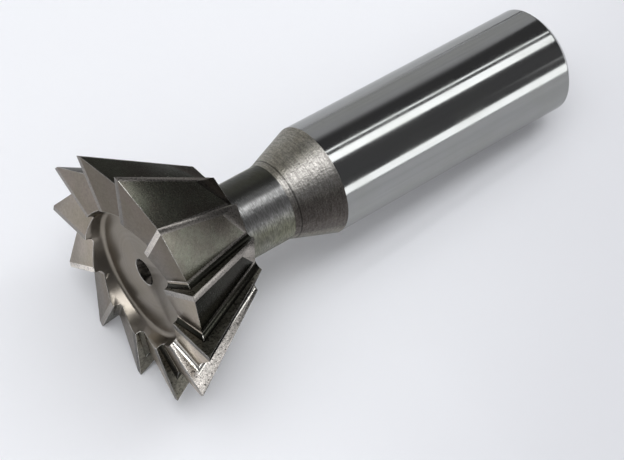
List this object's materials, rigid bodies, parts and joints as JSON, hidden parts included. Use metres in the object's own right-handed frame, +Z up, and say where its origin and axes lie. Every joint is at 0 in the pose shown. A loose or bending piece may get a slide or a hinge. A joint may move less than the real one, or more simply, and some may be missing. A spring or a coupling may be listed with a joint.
{
  "type": "dovetail cutter",
  "caption": "Dovetail milling cutter with an undercut toothed head, a slim neck, a taper and a plain round shank, lying on its side.",
  "frame": {"origin": "on the table under the middle of the cutter, midway along X and Y", "axes": "+X along the cutter towards the shank end, as seen from above; +Z up from the table that it lies on"},
  "size_m": [0.0932, 0.0436, 0.0432],
  "materials": {
    "ground_steel": "ground tool steel with turned and milled marks"
  },
  "bodies": {
    "root": {"cutter": "ground_steel"}
  },
  "joints": []
}
